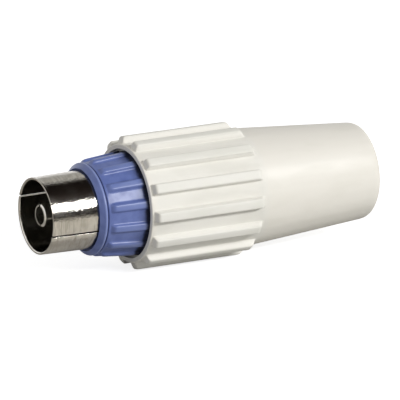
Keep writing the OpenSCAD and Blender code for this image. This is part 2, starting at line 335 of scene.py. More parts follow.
# %% Helpers for finishes
def new_finish(name, **constants):
    """A material, its tree and its shader, with the unchanging sockets set."""
    material = bpy.data.materials.new(name)
    material.use_nodes = True
    tree = material.node_tree
    shader = tree.nodes["Principled BSDF"]
    for socket, value in constants.items():
        shader.inputs[socket.replace("_", " ")].default_value = value
    return material, tree, shader


def feed(shader, **wires):
    """Links wires to the shader's sockets."""
    for socket, wire in wires.items():
        wire.tree.links.new(wire.socket, shader.inputs[socket.replace("_", " ")])


def part_place(tree, stretch=(1, 1, 1)):
    """The part's own coordinates in metres, with a stretch for each axis."""
    place = Wire.node(tree, "ShaderNodeTexCoord", out="Object")
    return Wire.node(tree, "ShaderNodeMapping", {}, {"Vector": place, "Scale": stretch})


def noise(place, scale, detail=2.0):
    """Cloudy noise from 0 to 1."""
    sockets = {"Vector": place, "Scale": scale, "Detail": detail}
    return Wire.node(place.tree, "ShaderNodeTexNoise", {}, sockets)


def blend_colour(mask, low, high):
    """One colour where the mask is 0 and another where it is 1."""
    sockets = {"Factor": mask, "A": low, "B": high}
    return Wire.node(mask.tree, "ShaderNodeMix", {"data_type": "RGBA"}, sockets, "Result")


def bump(height, distance):
    """A normal from a height map whose full range is the given distance."""
    sockets = {"Height": height, "Distance": distance, "Strength": 1.0}
    return Wire.node(height.tree, "ShaderNodeBump", {}, sockets)


def axis_radius(place):
    """Distance from the connector's axis."""
    y, z = place.split()[1:]
    return (y * y + z * z).math("SQRT")


GRAIN_ROUGH = 0.1
print("finish helpers ready")

# %% [markdown]
# ### Ivory plastic
# The cable sleeve is a satin moulding with faint flow marks along its length and a very fine grain from the
# mould. The ribs were made matt for a better grip. Fingers have left their crests a little greyer. The floors
# between the ribs are darker, partly from dust and partly as painted shade. Such marks could be painted by
# hand. Here a point's place along the axis and its distance from it say what it is, crest or floor, so the
# marks lie right on all the ribs at once.

# %% Ivory plastic of the cable sleeve
IVORY = (0.785, 0.757, 0.69, 1)
IVORY_FLOW = (0.755, 0.728, 0.658, 1)
IVORY_GRIP = (0.812, 0.795, 0.74, 1)
IVORY_HANDLED = (0.69, 0.685, 0.61, 1)
IVORY_DUST_SHADE = (0.64, 0.625, 0.56, 1)
GRIP_FRONT = (13.5 * MM, 14.2 * MM)
GRIP_REAR = (29.4 * MM, 31.2 * MM)
GRIP_CREST = (8.5 * MM, 8.8 * MM)
GRIP_FLOOR = (7.89 * MM, 8.4 * MM)
FLOW_STRETCH = (0.3, 1, 1)
FLOW_SCALE = 420
FLOW_RANGE = (0.42, 0.68)
IVORY_GRAIN = 7000
IVORY_GRAIN_DEPTH = 0.006 * MM
HANDLED_LEAST = 0.15
HANDLED_FLOW = 0.4
DUST_SHADE_LEAST = 0.22
DUST_SHADE_FLOW = 0.3
IVORY_ROUGH = 0.4
FLOW_ROUGH = 0.06
GRIP_ROUGH = 0.25


def ivory_plastic():
    """Satin plastic with flow marks, matt ribs, greyer crests, and dust and painted shade between the ribs.
    """
    material, tree, shader = new_finish("ivory_moulding", IOR=1.5)
    place = part_place(tree)
    flow = noise(part_place(tree, FLOW_STRETCH), FLOW_SCALE, 3.0).ramp(*FLOW_RANGE)
    grain = noise(place, IVORY_GRAIN)
    along = place.split()[0]
    grip = along.ramp(*GRIP_FRONT) * (1 - along.ramp(*GRIP_REAR))
    radius = axis_radius(place)
    handled = radius.ramp(*GRIP_CREST) * (HANDLED_LEAST + HANDLED_FLOW * flow)
    # Darker floors between the ribs: dust, and painted shade where the ribs shade them.
    dusty = grip * (1 - radius.ramp(*GRIP_FLOOR)) * (DUST_SHADE_LEAST + DUST_SHADE_FLOW * flow)
    colour = blend_colour(grip, blend_colour(flow, IVORY, IVORY_FLOW), IVORY_GRIP)
    colour = blend_colour(dusty, blend_colour(handled, colour, IVORY_HANDLED), IVORY_DUST_SHADE)
    rough = IVORY_ROUGH + GRAIN_ROUGH * grain + FLOW_ROUGH * flow + GRIP_ROUGH * grip
    feed(shader, Base_Color=colour, Roughness=rough, Normal=bump(grain, IVORY_GRAIN_DEPTH))
    return material


ivory = ivory_plastic()
print("made", ivory.name)

# %% [markdown]
# ### Blue plastic
# The collar is a semi-gloss moulding. Its front ring and its rib crests are painted paler, partly as wear and
# partly as a painted highlight. The groove behind the ring and the gap at the cable sleeve's mouth are
# painted nearly black as painted shade, and the thread has smears of grease.
# Baked cavity maps could find the grooves. Distance from the axis finds them too, and stays sharp at any
# picture size. The ribs lie on a cone, so its slope is taken off before a crest is looked for.

# %% Blue plastic of the collar
BLUE = (0.135, 0.182, 0.43, 1)
BLUE_DEEP = (0.105, 0.145, 0.37, 1)
BLUE_WORN_AND_HIGHLIGHT = (0.22, 0.275, 0.53, 1)
BLUE_SHADE_AND_GREASE = (0.008, 0.009, 0.018, 1)
FLUTE_TAPER = 0.073
RIB_CREST = (5.86 * MM, 6.02 * MM)
RING_CREST = (6.06 * MM, 6.17 * MM)
RING_GROOVE = (5.90 * MM, 6.02 * MM)
RING_REAR = (7.5 * MM, 7.6 * MM)
MOUTH = (12.75 * MM, 13.25 * MM)
MOUTH_REAR = (13.7 * MM, 14.5 * MM)
BLUE_CLOUD = 700
BLUE_CLOUD_RANGE = (0.35, 0.7)
BLUE_GRAIN = 6000
BLUE_GRAIN_DEPTH = 0.004 * MM
SMEAR_SCALE = 1500
SMEAR_RANGE = (0.48, 0.7)
WORN_HIGHLIGHT_LEAST = 0.4
WORN_HIGHLIGHT_CLOUD = 0.4
GROOVE_SHADE = 0.7
MOUTH_SHADE = 0.94
MOUTH_WANDER = 0.3 * MM
GREASE = 0.5
BLUE_ROUGH = 0.25
CLOUD_ROUGH = 0.06


def blue_plastic():
    """Semi-gloss plastic with crests and ring painted paler as wear and painted highlight, painted shade in
    the groove and at the mouth, and grease on the thread.
    """
    material, tree, shader = new_finish("blue_moulding", IOR=1.5)
    place = part_place(tree)
    cloud = noise(place, BLUE_CLOUD, 3.0).ramp(*BLUE_CLOUD_RANGE)
    grain = noise(place, BLUE_GRAIN)
    along = place.split()[0]
    radius = axis_radius(place)
    behind_ring = along.ramp(*RING_REAR)
    # Paler crests and front ring: partly wear, partly a painted highlight.
    crest = (radius - FLUTE_TAPER * along).ramp(*RIB_CREST)
    ring = radius.ramp(*RING_CREST) * (1 - behind_ring)
    worn_and_highlight = crest.math("MAXIMUM", crest * (WORN_HIGHLIGHT_LEAST + WORN_HIGHLIGHT_CLOUD * cloud), ring)
    # The groove behind the ring and the gap at the mouth go nearly black as painted shade; only the smears on
    # the thread are grease.
    groove = behind_ring * (1 - radius.ramp(*RING_GROOVE))
    smear = noise(place, SMEAR_SCALE)
    on_thread = along.ramp(*MOUTH_REAR)
    mouth = MOUTH_SHADE * (along + MOUTH_WANDER * smear).ramp(*MOUTH) * (1 - on_thread)
    grease = GREASE * on_thread * smear.ramp(*SMEAR_RANGE)
    shade_and_grease = mouth.math("MAXIMUM", mouth + grease, GROOVE_SHADE * groove)
    colour = blend_colour(worn_and_highlight, blend_colour(cloud, BLUE, BLUE_DEEP), BLUE_WORN_AND_HIGHLIGHT)
    colour = blend_colour(shade_and_grease, colour, BLUE_SHADE_AND_GREASE)
    rough = BLUE_ROUGH + GRAIN_ROUGH * grain + CLOUD_ROUGH * cloud
    feed(shader, Base_Color=colour, Roughness=rough, Normal=bump(grain, BLUE_GRAIN_DEPTH))
    return material


blue = blue_plastic()
print("made", blue.name)

# %% [markdown]
# ### Plated metals
# The sleeve is rolled from bright nickel sheet. Its surface isn't quite flat: fine lines run round it, and
# they break the edges of every reflection. The contact is turned, so its lines are closer and even. A
# picture of scratches wrapped round the sleeve would show a seam. Noise that changes fast along the axis and
# slowly across it gives the same lines without one.

# %% Nickel sheet, contact, screw and brass
NICKEL = (0.68, 0.655, 0.61, 1)
NICKEL_DULL = (0.50, 0.47, 0.42, 1)
CONTACT = (0.74, 0.715, 0.67, 1)
CONTACT_DULL = (0.60, 0.58, 0.53, 1)
SCREW = (0.60, 0.58, 0.54, 1)
SCREW_DULL = (0.42, 0.40, 0.36, 1)
BRASS = (0.72, 0.55, 0.27, 1)
BRASS_DULL = (0.52, 0.36, 0.15, 1)
LINE_STRETCH = (1, 0.15, 0.15)
LINE_RANGE = (0.42, 0.68)
DENT_STRETCH = (1.3, 0.8, 0.8)
TARNISH_SCALE = 500
TARNISH_RANGE = (0.45, 0.8)
TARNISH_ROUGH = 0.1
ROLLED_LINES = (4800, 0.012 * MM)
ROLLED_DENTS = (4200, 0.036 * MM)
TURNED_LINES = (6000, 0.004 * MM)
TURNED_DENTS = (3000, 0.003 * MM)
BRASS_LINES = (5000, 0.006 * MM)


def plated_metal(name, bright, dull, rough, lines, dents):
    """Metal with lines round its axis and small dents, each a scale and a depth, and a light tarnish."""
    material, tree, shader = new_finish(name, Metallic=1.0)
    line_scale, line_depth = lines
    dent_scale, dent_depth = dents
    line = noise(part_place(tree, LINE_STRETCH), line_scale)
    dent = noise(part_place(tree, DENT_STRETCH), dent_scale)
    tarnish = noise(part_place(tree), TARNISH_SCALE, 4.0).ramp(*TARNISH_RANGE)
    dullness = tarnish.math("MAXIMUM", tarnish, line.ramp(*LINE_RANGE))
    relief = line_depth * line + dent_depth * dent
    feed(shader, Base_Color=blend_colour(dullness, bright, dull), Roughness=rough + TARNISH_ROUGH * tarnish,
         Normal=bump(relief, 1.0))
    return material


nickel = plated_metal("nickel_plate", NICKEL, NICKEL_DULL, 0.12, ROLLED_LINES, ROLLED_DENTS)
contact_plate = plated_metal("contact_plate", CONTACT, CONTACT_DULL, 0.2, TURNED_LINES, TURNED_DENTS)
screw_plate = plated_metal("screw_plate", SCREW, SCREW_DULL, 0.3, TURNED_LINES, TURNED_DENTS)
brass = plated_metal("turned_brass", BRASS, BRASS_DULL, 0.25, BRASS_LINES, TURNED_DENTS)
print("made", nickel.name, contact_plate.name, screw_plate.name, brass.name)

# %% [markdown]
# ### Dark mouldings
# The insulator is dull black and the pressure ring dark grey. Both are cheap mouldings with a cloudy
# surface, so their roughness varies more than their colour. One even roughness would be simpler, but it
# looks like rubber, and one noise is enough to avoid that.

# %% Black and grey plastic
BLACK = (0.018, 0.016, 0.016, 1)
BLACK_DUSTY = (0.032, 0.029, 0.028, 1)
GREY = (0.070, 0.075, 0.090, 1)
GREY_DUSTY = (0.11, 0.11, 0.115, 1)
DARK_CLOUD = 900
DARK_CLOUD_RANGE = (0.4, 0.75)
DARK_GRAIN = 5000
DARK_GRAIN_DEPTH = 0.008 * MM
DARK_ROUGH = 0.5
DARK_CLOUD_ROUGH = 0.2


def dark_plastic(name, colour, dusty):
    """Dull plastic with a cloudy surface."""
    material, tree, shader = new_finish(name, IOR=1.48)
    place = part_place(tree)
    cloud = noise(place, DARK_CLOUD, 4.0).ramp(*DARK_CLOUD_RANGE)
    grain = noise(place, DARK_GRAIN)
    rough = DARK_ROUGH + DARK_CLOUD_ROUGH * cloud
    feed(shader, Base_Color=blend_colour(cloud, colour, dusty), Roughness=rough,
         Normal=bump(grain, DARK_GRAIN_DEPTH))
    return material


black = dark_plastic("black_moulding", BLACK, BLACK_DUSTY)
grey = dark_plastic("grey_moulding", GREY, GREY_DUSTY)
print("made", black.name, grey.name)

# %% [markdown]
# ## Rounded outlines
# A turned or moulded piece is drawn by a few corners along its outline. Each corner has a place along the
# axis, the radius between the ribs, the radius on a rib's crest and its own rounding, all in millimetres. A
# real edge is never sharp, and the rounding is what shows as a bright line. A Bevel modifier could round
# the finished mesh, but here each corner needs a rounding of its own.

# %% Corners to stations
ROUND_STEPS = 5
HOLD = 0.3
ROOM_USED = 0.9


def plain(x, radius, rounding):
    """A corner where nothing stands out between floor and crest."""
    return (x, radius, radius, rounding)


def rounded(corners):
    """Rounds each corner of a closed outline, and holds the straight stretches beside it straight."""
    points = [Vector(corner[:3]) for corner in corners]
    stations = []
    for i, (corner, point) in enumerate(zip(corners, points)):
        beside = [i - 1, (i + 1) % len(points)]
        ways = [points[k] - point for k in beside]
        sizes = [math.hypot(way.x, max(abs(way.y), abs(way.z))) for way in ways]
        shares = [corner[3] / (corner[3] + corners[k][3]) for k in beside]
        room = min(size * share for size, share in zip(sizes, shares))
        reach = min(corner[3], ROOM_USED * room / (1 + HOLD))
        before, after = [way / size * reach for way, size in zip(ways, sizes)]
        stations.append(point + before * (1 + HOLD))
        for step in range(ROUND_STEPS + 1):
            t = step / ROUND_STEPS
            stations.append(point + before * (1 - t) ** 2 + after * t ** 2)
        stations.append(point + after * (1 + HOLD))
    return [tuple(station * MM) for station in stations + stations[:1]]


print("a corner becomes", ROUND_STEPS + 3, "stations")

# %% [markdown]
# ## A fluted turning in Geometry Nodes
# The collar and the cable sleeve follow the same rule: an outline is turned about the axis, and a rib
# section repeats round it. Modelled by hand that is hundreds of loops. As a tree it is a grid whose rows
# are the stations and whose columns follow the rib section, so ribs, fillets and ends are one closed skin.

# %% Trees with named inputs
KINDS = {"geometry": "NodeSocketGeometry", "count": "NodeSocketInt",
         "size": "NodeSocketFloat", "material": "NodeSocketMaterial"}
MERGE = 0.5e-6
SHARP = math.radians(40)


def new_tree(name, **inputs):
    """A tree with named inputs; returns it with a wire from each input."""
    tree = bpy.data.node_groups.new(name, "GeometryNodeTree")
    tree.interface.new_socket("Piece", in_out="OUTPUT", socket_type=KINDS["geometry"])
    for label, kind in inputs.items():
        tree.interface.new_socket(label, in_out="INPUT", socket_type=KINDS[kind])
    group = tree.nodes.new("NodeGroupInput")
    return tree, {label: Wire(tree, group.outputs[label]) for label in inputs}


def merged(geometry):
    """Joins the points that lie in one place, which closes seams."""
    sockets = {"Geometry": geometry, "Distance": MERGE}
    return Wire.node(geometry.tree, "GeometryNodeMergeByDistance", {}, sockets)


def end_tree(tree, piece, material):
    """Closes the seams, shades the piece, realizes it and gives it its material."""
    sockets = {"Geometry": merged(piece)}
    smooth = Wire.node(tree, "GeometryNodeSetShadeSmooth", {"domain": "FACE"}, sockets)
    angle = Wire.node(tree, "GeometryNodeInputMeshEdgeAngle")
    crisp = {"Geometry": smooth, "Selection": angle > SHARP, "Shade Smooth": False}
    shaded = Wire.node(tree, "GeometryNodeSetShadeSmooth", {"domain": "EDGE"}, crisp)
    real = Wire.node(tree, "GeometryNodeRealizeInstances", {}, {"Geometry": shaded})
    painted = Wire.node(tree, "GeometryNodeSetMaterial", {}, {"Geometry": real, "Material": material})
    result = tree.nodes.new("NodeGroupOutput")
    tree.links.new(painted.socket, result.inputs[0])


print("inputs can be", ", ".join(KINDS))

# %% Running a tree
def keep_result(piece, modifier):
    """Replaces a piece's mesh by the modifier's result and removes the modifier."""
    start = piece.data
    depsgraph = bpy.context.evaluated_depsgraph_get()
    made = bpy.data.meshes.new_from_object(piece.evaluated_get(depsgraph))
    piece.modifiers.remove(modifier)
    piece.data = made
    bpy.data.meshes.remove(start)
    triangles = sum(len(face.vertices) - 2 for face in made.polygons)
    print(piece.name, "has", triangles, "triangles")


def run_tree(piece, tree, **values):
    """Replaces a piece's mesh by what the tree makes of it."""
    modifier = piece.modifiers.new(tree.name, "NODES")
    modifier.node_group = tree
    for item in tree.interface.items_tree:
        if item.name in values:
            modifier[item.identifier] = values[item.name]
    keep_result(piece, modifier)


def grow(name, tree, points, **values):
    """Runs a tree on a row of points and keeps the result as a plain mesh."""
    row = bpy.data.meshes.new(name + "_row")
    row.from_pydata(points, [], [])
    piece = bpy.data.objects.new(name, row)
    scene.collection.objects.link(piece)
    run_tree(piece, tree, **values)
    return piece


print("a tree's result is kept as a plain mesh")

# %% Points, rows and angles
def sample(geometry, index):
    """The position of one point of a geometry."""
    place = Wire.node(geometry.tree, "GeometryNodeInputPosition")
    sockets = {"Geometry": geometry, "Value": place, "Index": index}
    settings = {"data_type": "FLOAT_VECTOR", "domain": "POINT"}
    return Wire.node(geometry.tree, "GeometryNodeSampleIndex", settings, sockets)


def count(geometry, component):
    """How many points a geometry has."""
    settings = {"component": component}
    return Wire.node(geometry.tree, "GeometryNodeAttributeDomainSize", settings, {0: geometry}, "Point Count")


def vector(x, y, z):
    """A vector of three wires or numbers, of which the first is a wire."""
    return Wire.node(x.tree, "ShaderNodeCombineXYZ", {}, {0: x, 1: y, 2: z})


def place_points(geometry, position):
    """Moves every point of a geometry to a position."""
    sockets = {"Geometry": geometry, "Position": position}
    return Wire.node(geometry.tree, "GeometryNodeSetPosition", {}, sockets)


def grid(tree, rows, columns):
    """A grid with its row and column numbers."""
    sockets = {"Vertices X": rows, "Vertices Y": columns}
    mesh = Wire.node(tree, "GeometryNodeMeshGrid", {}, sockets, "Mesh")
    index = Wire.node(tree, "GeometryNodeInputIndex")
    row = (index + 0.5) // columns
    return mesh, row, index - row * columns


def on_axis(along, radius, angle):
    """The place at an angle round the axis: the angle starts at the top and runs towards -Y."""
    return vector(along, 0 - radius * angle.math("SINE"), radius * angle.math("COSINE"))


FULL_TURN = 2 * math.pi
print("a full turn is", round(FULL_TURN, 4), "radians")

# %% The rib section and the turning
SECTION_POINTS = 7
FILLET_STEPS = 5


def rib_section(tree, given):
    """Half a flute, a rib and half a flute as a curve: across in X, height in Y."""
    line = Wire.node(tree, "GeometryNodeCurvePrimitiveLine")
    resampled = {"Curve": line, "Count": SECTION_POINTS}
    line = Wire.node(tree, "GeometryNodeResampleCurve", {"mode": "COUNT"}, resampled)
    index = Wire.node(tree, "GeometryNodeInputIndex") - SECTION_POINTS // 2
    step = index.math("ABSOLUTE")
    root = given["Rib width"] / 2 + given["Draft"]
    crest = (given["Rib width"] / 2 - given["Draft"]) * given["Floor radius"] / given["Crest radius"]
    pitch = FULL_TURN * given["Floor radius"] / given["Ribs"]
    across = (step > 0.5) * crest + (step > 1.5) * (root - crest) + (step > 2.5) * (pitch / 2 - root)
    height = (step < 1.5) * (given["Crest radius"] - given["Floor radius"])
    line = place_points(line, vector(across * index.math("SIGN"), height, 0))
    on_crest = (step > 0.5) * (step < 1.5)
    radius = on_crest * given["Crest rounding"] + (step > 1.5) * given["Root fillet"]
    sockets = {"Curve": line, "Radius": radius, "Count": FILLET_STEPS, "Limit Radius": True}
    return Wire.node(tree, "GeometryNodeFilletCurve", {"mode": "POLY"}, sockets)


def fluted_turning():
    """The tree that turns an outline and repeats a rib round it."""
    tree, given = new_tree("fluted_turning", **{
        "Stations": "geometry", "Ribs": "count", "Rib width": "size", "Draft": "size",
        "Floor radius": "size", "Crest radius": "size", "Crest rounding": "size",
        "Root fillet": "size", "First angle": "size", "Material": "material"})
    section = rib_section(tree, given)
    points = count(section, "CURVE") - 1
    skin, row, column = grid(tree, count(given["Stations"], "MESH"), points * given["Ribs"] + 1)
    rib = (column + 0.5) // points
    along, floor, crest = sample(given["Stations"], row).split()
    across, height = sample(section, column - rib * points).split()[:2]
    share = height / (given["Crest radius"] - given["Floor radius"])
    angle = given["First angle"] + rib * FULL_TURN / given["Ribs"] + across / given["Floor radius"]
    skin = place_points(skin, on_axis(along, floor + (crest - floor) * share, angle))
    skin = Wire.node(tree, "GeometryNodeFlipFaces", {}, {"Mesh": skin})
    end_tree(tree, skin, given["Material"])
    return tree


fluted = fluted_turning()
print("tree", fluted.name, "has", len(fluted.nodes), "nodes")

# %% [markdown]
# ## The cable sleeve
# One moulding: a ribbed grip in front, a plain tail that narrows to the cable's hole, and a stepped bore
# inside. It could be turned with a Screw modifier and get its ribs by a Boolean, but then nothing rounds
# the seam between them. In the tree they are one skin with real fillets. Its corners run along the outside
# from the front lip to the rear and back through the bore.

# %% Sizes of the cable sleeve
SLEEVE_RIBS = 14
SLEEVE_RIB_WIDTH = 1.4
SLEEVE_DRAFT = 0.05
SLEEVE_CREST_ROUND = 0.25
SLEEVE_ROOT_FILLET = 0.18
SLEEVE_BODY_R = 7.9
LIP = 0.3
GRIP_LENGTH = 16.4
RIB_FRONT_SLOPE = 0.3
RIB_REAR_SLOPE = 0.6
TAIL_R = 6.44
TAIL_ROUND = 1.05
COUNTERSINK = 0.5
REAR_WALL = 2.4
CHAMBER_REAR_R = 4.7
CHAMBER_FRONT_R = 5.8
RUNNING_GAP = 0.07
RING_BORE_R = 6.37
BEAD_DEPTH = 0.22
BEAD_HALF = 0.37
SEAT_SLOPE = 0.4
THREAD_BORE_R = 6.85
MOUTH_R = 7.25
MOUTH_DEPTH = 0.8

sleeve_low, sleeve_high = [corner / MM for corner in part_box("screw_sleeve")]
ring_low, ring_high = [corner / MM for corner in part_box("pressure_ring")]
sleeve_crest_r = sleeve_high.y
rib_start = sleeve_low.x + LIP
rib_end = rib_start + GRIP_LENGTH
hole_r = mounts["cable_entry"]["dims"]["r_mm"]
bead_r = RING_BORE_R + BEAD_DEPTH
bead_x = (ring_low.x + ring_high.x) / 2
ring_stop = ring_high.x + RUNNING_GAP
seat_front = ring_low.x - SEAT_SLOPE
print("the ribs run from", round(rib_start, 2), "to", round(rib_end, 2), "mm")

# %% Cable sleeve
sleeve_corners = [
    plain(sleeve_low.x, SLEEVE_BODY_R, 0.32),
    plain(rib_start, SLEEVE_BODY_R, 0.12),
    (rib_start + RIB_FRONT_SLOPE, SLEEVE_BODY_R, sleeve_crest_r, 0.3),
    (rib_end - RIB_REAR_SLOPE, SLEEVE_BODY_R, sleeve_crest_r, 0.35),
    plain(rib_end, SLEEVE_BODY_R, 0.3),
    plain(sleeve_high.x, TAIL_R, TAIL_ROUND),
    plain(sleeve_high.x, hole_r + COUNTERSINK, 0.15),
    plain(sleeve_high.x - COUNTERSINK, hole_r, 0.15),
    plain(sleeve_high.x - REAR_WALL, hole_r, 0.1),
    plain(sleeve_high.x - REAR_WALL, CHAMBER_REAR_R, 0.2),
    plain(ring_stop, CHAMBER_FRONT_R, 0.05),
    plain(ring_stop, RING_BORE_R, 0.05),
    plain(bead_x + BEAD_HALF, RING_BORE_R, 0.03),
    plain(bead_x + BEAD_HALF, bead_r, 0.03),
    plain(bead_x - BEAD_HALF, bead_r, 0.03),
    plain(bead_x - BEAD_HALF, RING_BORE_R, 0.03),
    plain(seat_front, RING_BORE_R, 0.1),
    plain(seat_front - (THREAD_BORE_R - RING_BORE_R), THREAD_BORE_R, 0.1),
    plain(sleeve_low.x + MOUTH_DEPTH, THREAD_BORE_R, 0.08),
    plain(sleeve_low.x + MOUTH_DEPTH, MOUTH_R, 0.05),
    plain(sleeve_low.x, MOUTH_R, 0.08),
]
sleeve = grow("cable_sleeve", fluted, rounded(sleeve_corners), **{
    "Ribs": SLEEVE_RIBS, "Rib width": SLEEVE_RIB_WIDTH * MM, "Draft": SLEEVE_DRAFT * MM,
    "Floor radius": SLEEVE_BODY_R * MM, "Crest radius": sleeve_crest_r * MM,
    "Crest rounding": SLEEVE_CREST_ROUND * MM, "Root fillet": SLEEVE_ROOT_FILLET * MM,
    "First angle": math.pi / SLEEVE_RIBS, "Material": ivory})
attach(sleeve, "sleeve")
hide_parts("screw_sleeve")

# %% [markdown]
# ## The collar
# The collar is a second moulding: a rounded front ring, a narrow valley behind it, ribs that rise out of
# the valley, and the hidden spigot. Ribs and flutes lie on a cone that widens slightly to the rear. It
# could be modelled afresh, but it follows the cable sleeve's rule, so the same tree makes it from other
# corners and only the numbers differ.

# %% Sizes of the collar
COLLAR_RIBS = 14
COLLAR_RIB_WIDTH = 1.1
COLLAR_DRAFT = 0.1
COLLAR_CREST_ROUND = 0.35
COLLAR_ROOT_FILLET = 0.38
RIB_HEIGHT = 0.42
COLLAR_LENGTH = 6.4
COLLAR_BORE_R = 5.25
GAP_R = 5.48
GAP_DEPTH = 0.6
RING_FRONT = 0.08
RING_TOP = 0.84
RING_R = 6.18
RING_ROUND_LOSS = 0.1
VALLEY = 1.15
VALLEY_R = 5.88
VALLEY_END = 1.27
FLUTE_START = 1.5
FLUTE_R = 6.09
FLUTE_RISE = 0.52
FLUTE_MEAN_R = 6.4
FLUTE_OVERLAP = 0.8
FLUTE_RUN_OUT = 0.25
RIB_TOP = 1.92
LAND_R = 6.78
LAND_REACH = 2.2
SPIGOT_R = 6.32
SPIGOT_CHAMFER = 0.4
SEAT_R = 5.70
SEAT_REACH = 1.0

collar_low, collar_high = [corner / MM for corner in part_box("grip_collar")]
front = collar_low.x
collar_end = front + COLLAR_LENGTH
flute_end = collar_end + FLUTE_OVERLAP
seat_x = collar_end + SEAT_REACH
land_end = collar_end + LAND_REACH
print("the collar shows from", round(front, 2), "to", round(collar_end, 2), "mm")

# %% Collar
def flute_r(x):
    """Radius between the ribs, which widens to the rear."""
    return FLUTE_R + (x - front - FLUTE_START) / (flute_end - front - FLUTE_START) * FLUTE_RISE


def fluted_corner(x, rounding):
    """A corner on the flutes' floor and the ribs' crest."""
    return (x, flute_r(x), flute_r(x) + RIB_HEIGHT, rounding)


collar_corners = [
    plain(front + GAP_DEPTH, COLLAR_BORE_R, 0.04),
    plain(front + GAP_DEPTH, GAP_R, 0.04),
    plain(front + RING_FRONT, GAP_R, 0.05),
    plain(front + RING_TOP, RING_R + RING_ROUND_LOSS, 0.4),
    plain(front + VALLEY, VALLEY_R, 0.06),
    plain(front + VALLEY_END, flute_r(front + VALLEY_END), 0.1),
    plain(front + FLUTE_START, flute_r(front + FLUTE_START), 0.1),
    fluted_corner(front + RIB_TOP, 0.3),
    fluted_corner(flute_end - FLUTE_RUN_OUT, 0.1),
    (flute_end, LAND_R, flute_r(flute_end) + RIB_HEIGHT, 0.1),
    plain(flute_end, LAND_R, 0.02),
    plain(land_end, LAND_R, 0.1),
    plain(land_end + LAND_R - SPIGOT_R, SPIGOT_R, 0.1),
    plain(collar_high.x - SPIGOT_CHAMFER, SPIGOT_R, 0.1),
    plain(collar_high.x, SPIGOT_R - SPIGOT_CHAMFER, 0.06),
    plain(collar_high.x, SEAT_R, 0.05),
    plain(seat_x, SEAT_R, 0.03),
    plain(seat_x, COLLAR_BORE_R, 0.03),
]
collar = grow("fluted_collar", fluted, rounded(collar_corners), **{
    "Ribs": COLLAR_RIBS, "Rib width": COLLAR_RIB_WIDTH * MM, "Draft": COLLAR_DRAFT * MM,
    "Floor radius": FLUTE_MEAN_R * MM, "Crest radius": (FLUTE_MEAN_R + RIB_HEIGHT) * MM,
    "Crest rounding": COLLAR_CREST_ROUND * MM, "Root fillet": COLLAR_ROOT_FILLET * MM,
    "First angle": 0.0, "Material": blue})
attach(collar, "socket")
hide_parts("grip_collar")

# %% [markdown]
# ## The window in the spigot
# A screwdriver reaches the conductor's screw through a round window. It could be cut by a Boolean modifier
# and a drill object that is then removed. A tree of its own makes its drill itself, so nothing is left
# over and the hole stays a number that can be changed.

# %% Window
WINDOW_R = 1.7
WINDOW_REACH = 9
DRILL_SIDES = 64


def cut_tree(tree, piece, cutter, material):
    """Ends a tree with the piece less the cutter."""
    settings = {"operation": "DIFFERENCE", "solver": "EXACT"}
    cut = Wire.node(tree, "GeometryNodeMeshBoolean", settings, {"Mesh 1": piece, "Mesh 2": cutter}, "Mesh")
    end_tree(tree, cut, material)
    return tree


def drilled():
    """The tree that drills a hole down to the axis from above."""
    tree, given = new_tree("drilled", **{"Piece": "geometry", "Hole radius": "size", "Hole place": "size",
                                         "Hole reach": "size", "Material": "material"})
    sockets = {"Vertices": DRILL_SIDES, "Radius": given["Hole radius"], "Depth": given["Hole reach"]}
    drill = Wire.node(tree, "GeometryNodeMeshCylinder", {}, sockets, "Mesh")
    middle = vector(given["Hole place"], 0.0, given["Hole reach"] / 2)
    drill = Wire.node(tree, "GeometryNodeTransform", {}, {"Geometry": drill, "Translation": middle})
    return cut_tree(tree, given["Piece"], drill, given["Material"])


screw_low, screw_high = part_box("conductor_screw")
run_tree(collar, drilled(), **{
    "Hole radius": WINDOW_R * MM, "Hole place": (screw_low.x + screw_high.x) / 2,
    "Hole reach": WINDOW_REACH * MM, "Material": blue})

# %% [markdown]
# ## The threads
# A thread is a ridge that climbs by its pitch in each turn. A Screw modifier winds such a ridge too, but it
# can't thin it out on the way. The tree bends a grid round the axis by a formula, and the formula has room
# for that: the ridge on the spigot stops at two flats, which leave the window free, and both ridges run
# out at their ends.

# %% The winding ridge
STEPS_PER_TURN = 72
RIDGE_COLUMNS = 5
FADE_TURNS = 0.08
FLAT_SOFTNESS = 0.12


def screw_ridge():
    """The tree of a ridge that winds round the axis."""
    tree, given = new_tree("screw_ridge", **{
        "Row": "geometry", "Turns": "size", "Start": "size", "Pitch": "size", "Root radius": "size",
        "Height": "size", "Base width": "size", "Crest width": "size", "Flat": "size",
        "Material": "material"})
    rows = given["Turns"] * STEPS_PER_TURN
    ridge, row, column = grid(tree, rows + 1, RIDGE_COLUMNS)
    turn = row / STEPS_PER_TURN
    end = turn.math("MINIMUM", turn, given["Turns"] - turn)
    fade = end.ramp(0.0, FADE_TURNS)
    angle = turn * FULL_TURN
    flat = angle.math("SINE").math("ABSOLUTE").ramp(given["Flat"], given["Flat"] + FLAT_SOFTNESS)
    crest = (column > 0.5) * (column < 2.5)
    side = 2 * (column > 1.5) * (column < 3.5) - 1
    half_width = given["Base width"] / 2 + crest * (given["Crest width"] - given["Base width"]) / 2
    share = fade * flat
    along = given["Start"] + given["Pitch"] * turn + side * half_width * share
    radius = given["Root radius"] + given["Height"] * crest * share
    ridge = merged(place_points(ridge, on_axis(along, radius, angle)))
    faces = Wire.node(tree, "GeometryNodeInputMeshEdgeNeighbors")
    sockets = {"Geometry": ridge, "Selection": faces < 0.5}
    ridge = Wire.node(tree, "GeometryNodeDeleteGeometry", {"domain": "EDGE"}, sockets)
    sockets = {"Mesh": ridge, "Selection": given["Height"] < 0.0}
    ridge = Wire.node(tree, "GeometryNodeFlipFaces", {}, sockets)
    end_tree(tree, ridge, given["Material"])
    return tree


winding = screw_ridge()
print("tree", winding.name, "has", len(winding.nodes), "nodes")

